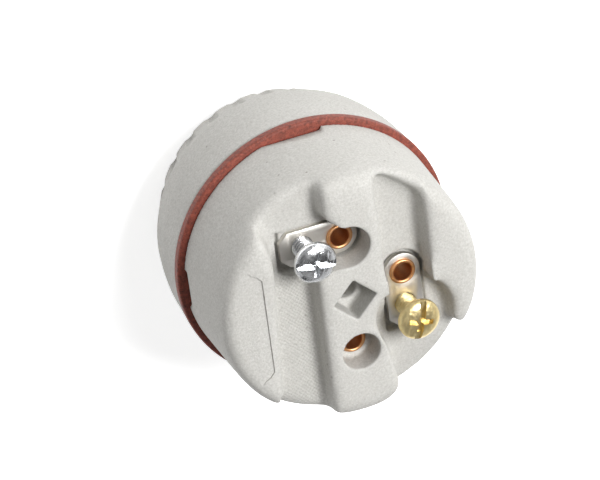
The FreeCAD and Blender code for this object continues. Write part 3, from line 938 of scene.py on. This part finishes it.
# %% [markdown]
# ## Terminal screws
# Binding screws with a low dome, one long slot and a short cross recess.
# The thread is spun with a rise of one pitch per turn, so each tooth ends
# where the next begins, and its two ends are trimmed flat.

# %% Sizes of a terminal screw, in millimetres from the plane under its head
head_r = 3.95
head_high = 2.0
head_edge = 0.25
seat_gap = 0.05
stem_r = 1.55
stem_low = -0.6
screw_long = 6.4
screw_rise = 0.794
root_r = 1.62
shank_r = 2.0
teeth = 11
long_slot = (head_r + 1, 0.6, 0.95)
cross_along, cross_across = (0.5, 2.3, 1.2), (2.3, 0.45, 1.25)


# %% The head: a turned dome with a slot and a cross recess
def make_head(name, node, body):
    outline = [(0.0, stem_low), (stem_r, stem_low), (stem_r, seat_gap), (head_r - head_edge, seat_gap)]
    outline += arc((head_r - head_edge, seat_gap + head_edge), head_edge, -90, 0, 3)
    outline += [(head_r, 0.75), (head_r - 0.12, 1.05), (head_r - 0.45, 1.38),
                (head_r - 1.0, 1.68), (head_r - 1.9, 1.9), (1.0, 1.98), (0.0, head_high)]
    bm = bmesh.new()
    spin_outline(bm, outline, 72, closed=False)
    head = add_piece(name, bm, body, node)
    for half_x, half_y, deep in (long_slot, cross_along, cross_across):
        cutter = bmesh.new()
        add_box(cutter, (-half_x, -half_y, head_high - deep), (half_x, half_y, head_high + 1))
        cut_away(head, cutter)
    round_edges(head, 0.09)
    return head


# %% The thread: one tooth outline spun with a rise, then trimmed at both ends
def trim_flat(bm, level, direction):
    bmesh.ops.bisect_plane(
        bm, geom=bm.verts[:] + bm.edges[:] + bm.faces[:], dist=0.0001,
        plane_co=(0, 0, level), plane_no=(0, 0, direction), clear_outer=True)
    open_edges = [e for e in bm.edges
                  if e.is_boundary and all(abs(v.co.z - level) < 0.01 for v in e.verts)]
    bmesh.ops.contextual_create(bm, geom=open_edges)


def make_thread():
    bm = bmesh.new()
    points = []
    for tooth in range(teeth):
        z = -screw_long - 2 * screw_rise + tooth * screw_rise
        points += [(root_r, z), (shank_r, z + 0.36 * screw_rise),
                   (shank_r, z + 0.5 * screw_rise), (root_r, z + 0.86 * screw_rise)]
    corners = [bm.verts.new((r, 0, z)) for r, z in points]
    edges = [bm.edges.new(pair) for pair in zip(corners, corners[1:])]
    steps = 40
    bmesh.ops.spin(
        bm, geom=corners + edges, cent=(0, 0, 0), axis=(0, 0, 1), dvec=(0, 0, screw_rise / steps),
        angle=math.tau, steps=steps)
    bmesh.ops.remove_doubles(bm, verts=bm.verts, dist=0.001)
    trim_flat(bm, -screw_long, -1)
    trim_flat(bm, stem_low / 2, 1)
    resize(bm, MM)
    bmesh.ops.recalc_face_normals(bm, faces=bm.faces)
    return mesh_from("thread", bm)


# %% Terminal screws
def make_screw(name, node, body, turn, finish):
    low = box_mm(node)[0]
    middle = centre_mm(node)
    head = make_head(name, node, body)
    thread = make_thread()
    whole = bmesh.new()
    whole.from_mesh(head.data)
    whole.from_mesh(thread)
    bpy.data.meshes.remove(thread)
    spot = Matrix.Translation((middle.x * MM, middle.y * MM, (low.z + screw_long) * MM))
    spot = spot @ Matrix.Rotation(math.radians(turn), 4, "Z")
    bmesh.ops.transform(whole, matrix=spot, verts=whole.verts)
    whole.to_mesh(head.data)
    whole.free()
    shade(head, 32)
    dress(head, finish)
    print(name, len(head.data.polygons), "faces with its thread")


make_screw("binding_screw_zinc", "shell_terminal_screw", "shell_screw", -10, zinc)
make_screw("binding_screw_brass", "centre_terminal_screw", "centre_screw", 75, brass)

# %% [markdown]
# ## Studio
# The floor is plain and pale. Its own glow is seen only by the camera and in
# shiny surfaces, so it doesn't light the socket and wash out its shadows.

# %% Floor
floor_grey = 0.85
floor_shine = 0.68
bm = bmesh.new()
bmesh.ops.create_circle(bm, cap_ends=True, radius=2.5, segments=64)
floor = add_object("floor", mesh_from("floor", bm))
floor_material, floor_tree, floor_shader = start_material("white floor", 0.9)[:3]
floor_shader.inputs["Base Color"].default_value = (floor_grey, floor_grey, floor_grey, 1)
floor_shader.inputs["Specular IOR Level"].default_value = 0.0
floor_shader.inputs["Emission Color"].default_value = (1, 1, 1, 1)
floor_rays = add_node(floor_tree, "ShaderNodeLightPath").outputs
seen = floor_rays["Is Camera Ray"]
for kind in ("Is Glossy Ray", "Is Transmission Ray"):
    seen = calculate(floor_tree, "MAXIMUM", seen, floor_rays[kind])
feed(floor_tree, floor_shader.inputs["Emission Strength"], scaled(floor_tree, seen, floor_shine))
floor.data.materials.append(floor_material)

# %% [markdown]
# ### Camera
# It stands where the photographer stood: high above the wiring side and
# rolled, far away with a long lens. The turn, rise, roll, distance and aim
# were found from the rims of the body and the ring in the photograph.

# %% Camera
camera_turn = 116.342
camera_rise = 54.703
camera_roll = 141.059
camera_distance = 600.0
aim = Vector((-1.519, 0.902, 21.946))
camera_data = bpy.data.cameras.new("camera")
camera_data.lens = 196.27
camera_data.sensor_width = 36
camera_data.clip_start = 0.01
camera = add_object("camera", camera_data)
bpy.context.scene.camera = camera
away = Vector((
    math.cos(math.radians(camera_rise)) * math.cos(math.radians(camera_turn)),
    math.cos(math.radians(camera_rise)) * math.sin(math.radians(camera_turn)),
    math.sin(math.radians(camera_rise))))
upright = away.to_track_quat("Z", "Y").to_matrix().to_4x4()
rolled = upright @ Matrix.Rotation(math.radians(camera_roll), 4, "Z")
camera.matrix_world = Matrix.Translation((aim + away * camera_distance) * MM) @ rolled
print("camera at", [round(v, 3) for v in camera.matrix_world.translation])

# %% [markdown]
# ### Lamps
# The shadows in the photograph fall to the left and are fairly soft, so a
# small softbox stands to the right of the camera and a large weak one fills
# in from the upper right. Both are placed by what is right and up in the
# picture.

# %% Lamps
image_right = rolled.to_3x3() @ Vector((1, 0, 0))
image_up = rolled.to_3x3() @ Vector((0, 1, 0))
print("image right", image_right, "image up", image_up)


def softbox(name, direction, distance, size, watts):
    lamp_data = bpy.data.lights.new(name, "AREA")
    lamp_data.shape = "SQUARE"
    lamp_data.size = size
    lamp_data.energy = watts
    lamp = add_object(name, lamp_data)
    direction = direction.normalized()
    turn = direction.to_track_quat("Z", "Y").to_matrix().to_4x4()
    lamp.matrix_world = Matrix.Translation(direction * distance + aim * MM) @ turn


key_side = away + image_right * 0.68 - image_up * 0.02
fill_side = away * 0.6 + image_right * 1.0 + image_up * 0.9
softbox("key", key_side, distance=0.9, size=0.34, watts=9.8)
softbox("fill", fill_side, distance=1.0, size=0.8, watts=2.0)

# %% [markdown]
# ### Room
# Bright metal needs something to mirror. The world is a grey room: patches
# from a coarse noise, bright near the horizon and darker overhead.

# %% Room
room_strength = 0.41
patch_dark, patch_bright = 0.12, 1.5
horizon, zenith = 1.5, 0.3
world = bpy.data.worlds.new("studio")
bpy.context.scene.world = world
world.use_nodes = True
room = world.node_tree
background = room.nodes["Background"]
background.inputs["Strength"].default_value = room_strength
direction = add_node(room, "ShaderNodeTexCoord").outputs["Generated"]
clouds = add_node(room, "ShaderNodeTexNoise", {"Vector": direction, "Scale": 2.2, "Detail": 1})
patches = remap(room, clouds.outputs["Fac"], 0.42, 0.58, patch_dark, patch_bright, "SMOOTHSTEP")
upward = add_node(room, "ShaderNodeSeparateXYZ", {0: direction}).outputs["Z"]
slope = remap(room, upward, 0.1, 0.9, horizon, zenith)
feed(room, background.inputs["Color"], calculate(room, "MULTIPLY", patches, slope))
bpy.context.scene.view_settings.view_transform = "Standard"
print("lamps", len(bpy.data.lights), "and a world of strength", room_strength)
